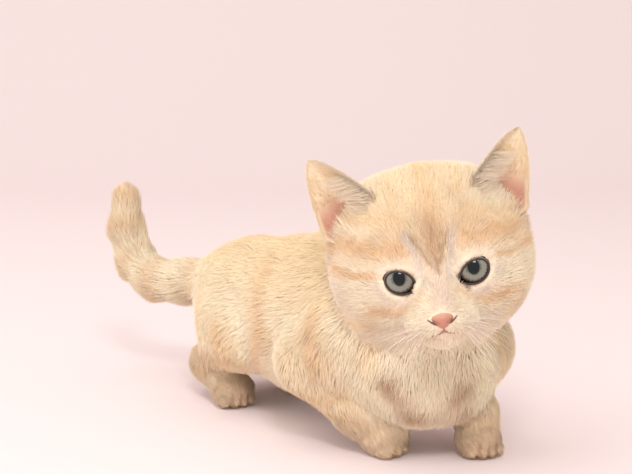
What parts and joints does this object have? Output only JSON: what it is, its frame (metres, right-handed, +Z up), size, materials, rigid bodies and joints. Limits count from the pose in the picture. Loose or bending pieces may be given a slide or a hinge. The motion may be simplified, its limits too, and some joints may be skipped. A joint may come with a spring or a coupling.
{
  "type": "munchkin kitten",
  "caption": "Life-size still model of a short-legged cream and ginger tabby kitten, standing with its head turned to one side and its tail curled up.",
  "frame": {"origin": "middle of the footprint box, on the ground under the kitten", "axes": "+Z up; -Y is forwards, the way the trunk points; +X is the kitten's left side"},
  "size_m": [0.1016, 0.283, 0.1535],
  "materials": {
    "coat": "soft short fur, cream with apricot tabby marks",
    "eye": "wet gloss, grey-green iris with a black oval pupil",
    "nose_skin": "fine-grained moist pink skin"
  },
  "bodies": {
    "root": {"head": "coat", "nose": "nose_skin", "ear_left": "coat", "ear_right": "coat", "eye_left": "eye", "eye_right": "eye", "neck": "coat", "torso": "coat", "front_leg_left": "coat", "front_paw_left": "coat", "front_leg_right": "coat", "front_paw_right": "coat", "hind_leg_left": "coat", "hind_paw_left": "coat", "hind_leg_right": "coat", "hind_paw_right": "coat", "tail_base": "coat", "tail_middle": "coat", "tail_tip": "coat"}
  },
  "joints": []
}
